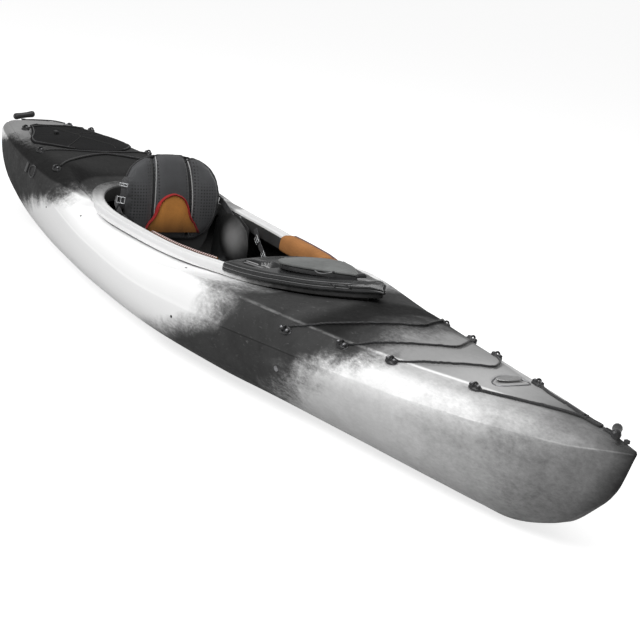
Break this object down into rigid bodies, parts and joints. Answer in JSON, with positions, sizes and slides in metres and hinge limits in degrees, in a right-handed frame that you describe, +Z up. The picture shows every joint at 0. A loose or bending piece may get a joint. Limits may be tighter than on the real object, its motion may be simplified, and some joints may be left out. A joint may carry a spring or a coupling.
{
  "type": "sit-in kayak",
  "caption": "Recreational sit-in kayak: moulded hull with open cockpit, padded adjustable seat, lift-off work deck with hinged lid, covered tankwell, deck cords and carry handles.",
  "frame": {"origin": "on the floor under the middle of the hull", "axes": "+X to the bow, +Y to port, +Z up"},
  "size_m": [3.81, 0.785, 0.4927],
  "materials": {
    "hull_plastic": "moulded, slightly glossy, speckled grey and white",
    "panel_plastic": "fine grain moulded",
    "lid_plastic": "fine grain moulded",
    "black_plastic": "moulded",
    "rubber_black": "matt",
    "cord_black": "braided cord",
    "seat_fabric": "perforated seat cloth",
    "orange_fabric": "smooth seat cloth",
    "red_trim": "edge trim",
    "cover_fabric": "coated cover cloth",
    "webbing": "woven strap",
    "foam": "closed cell foam",
    "alloy": "plain",
    "badge_metal": "brushed, blank"
  },
  "bodies": {
    "hull": {"hull_shell": "hull_plastic", "seat_pan": "black_plastic", "seat_back_pin": "alloy", "seat_bolt_port": "alloy", "seat_bolt_starboard": "alloy", "back_strap_port": "webbing", "back_strap_starboard": "webbing", "thigh_pad_port": "orange_fabric", "thigh_pad_starboard": "orange_fabric", "foot_rail_port": "alloy", "foot_rail_starboard": "alloy", "rail_bolt_port": "alloy", "rail_bolt_starboard": "alloy", "bow_foam_pillar": "foam", "stern_foam_pillar": "foam", "tankwell_cover": "cover_fabric", "bow_toggle_anchor": "black_plastic", "stern_toggle_anchor": "black_plastic", "stern_cord_eye": "black_plastic", "stern_cord": "cord_black", "paddle_park_loop": "cord_black", "badge_plate": "badge_metal", "bow_v_line": "cord_black", "cover_front_cord": "cord_black", "cover_aft_cord": "cord_black", "crest_bungee": "cord_black", "bow_cord_1": "cord_black", "bow_cord_2": "cord_black", "bow_cord_3": "cord_black", "bow_eye_port_1": "black_plastic", "bow_eye_port_2": "black_plastic", "bow_eye_port_3": "black_plastic", "bow_eye_port_4": "black_plastic", "aft_eye_port_1": "black_plastic", "aft_eye_port_2": "black_plastic", "aft_eye_port_3": "black_plastic", "bow_eye_starboard_1": "black_plastic", "bow_eye_starboard_2": "black_plastic", "bow_eye_starboard_3": "black_plastic", "bow_eye_starboard_4": "black_plastic", "aft_eye_starboard_1": "black_plastic", "aft_eye_starboard_2": "black_plastic", "aft_eye_starboard_3": "black_plastic"},
    "seat_back": {"seat_back_pad": "seat_fabric", "seat_back_frame": "black_plastic", "lumbar_patch": "orange_fabric", "lumbar_border": "red_trim"},
    "seat_cushion": {"seat_cushion": "seat_fabric"},
    "work_deck": {"work_deck": "panel_plastic", "lid_hinge_pin": "alloy", "lid_gasket": "rubber_black"},
    "deck_lid": {"work_deck_lid": "lid_plastic"},
    "lid_latch": {"lid_latch": "black_plastic"},
    "foot_pedal_port": {"foot_pedal_port": "black_plastic"},
    "foot_pedal_starboard": {"foot_pedal_starboard": "black_plastic"},
    "bow_toggle": {"bow_toggle": "black_plastic"},
    "stern_toggle": {"stern_toggle": "black_plastic"},
    "cord_lock": {"cord_lock": "black_plastic"},
    "paddle_hook": {"paddle_park_hook": "black_plastic"}
  },
  "joints": [
    {"name": "seat_back_fold", "type": "hinge", "parent": "hull", "child": "seat_back", "pos_m": [-0.525, 0, 0.115], "axis": [0, 1, 0], "range_deg": [-6, 60]},
    {"name": "seat_front_lift", "type": "hinge", "parent": "hull", "child": "seat_cushion", "pos_m": [-0.5, 0, 0.0505], "axis": [0, -1, 0], "range_deg": [0, 8]},
    {"name": "work_deck_lift", "type": "slide", "parent": "hull", "child": "work_deck", "axis": [0, 0, 1], "range_m": [0, 0.12]},
    {"name": "lid_hinge", "type": "hinge", "parent": "work_deck", "child": "deck_lid", "pos_m": [0.29885, 0, 0.35918], "axis": [0, -1, 0], "range_deg": [0, 105]},
    {"name": "lid_latch_turn", "type": "hinge", "parent": "work_deck", "child": "lid_latch", "pos_m": [0.67523, 0, 0.40798], "axis": [0, 1, 0], "range_deg": [0, 75]},
    {"name": "foot_pedal_slide_port", "type": "slide", "parent": "hull", "child": "foot_pedal_port", "axis": [0.9849, -0.1733, 0], "range_m": [-0.2, 0.2]},
    {"name": "foot_pedal_slide_starboard", "type": "slide", "parent": "hull", "child": "foot_pedal_starboard", "axis": [0.9849, 0.1733, 0], "range_m": [-0.2, 0.2]},
    {"name": "bow_handle_swing", "type": "hinge", "parent": "hull", "child": "bow_toggle", "pos_m": [1.868, 0, 0.355], "axis": [0, 1, 0], "range_deg": [0, 100]},
    {"name": "stern_handle_swing", "type": "hinge", "parent": "hull", "child": "stern_toggle", "pos_m": [-1.84, 0, 0.34216], "axis": [0, 1, 0], "range_deg": [-45, 45]},
    {"name": "cord_lock_slide", "type": "slide", "parent": "hull", "child": "cord_lock", "axis": [-0.9987, 0, 0.05], "range_m": [0, 0.03]},
    {"name": "paddle_hook_pull", "type": "slide", "parent": "hull", "child": "paddle_hook", "axis": [0, -1, 0], "range_m": [0, 0.04]}
  ]
}
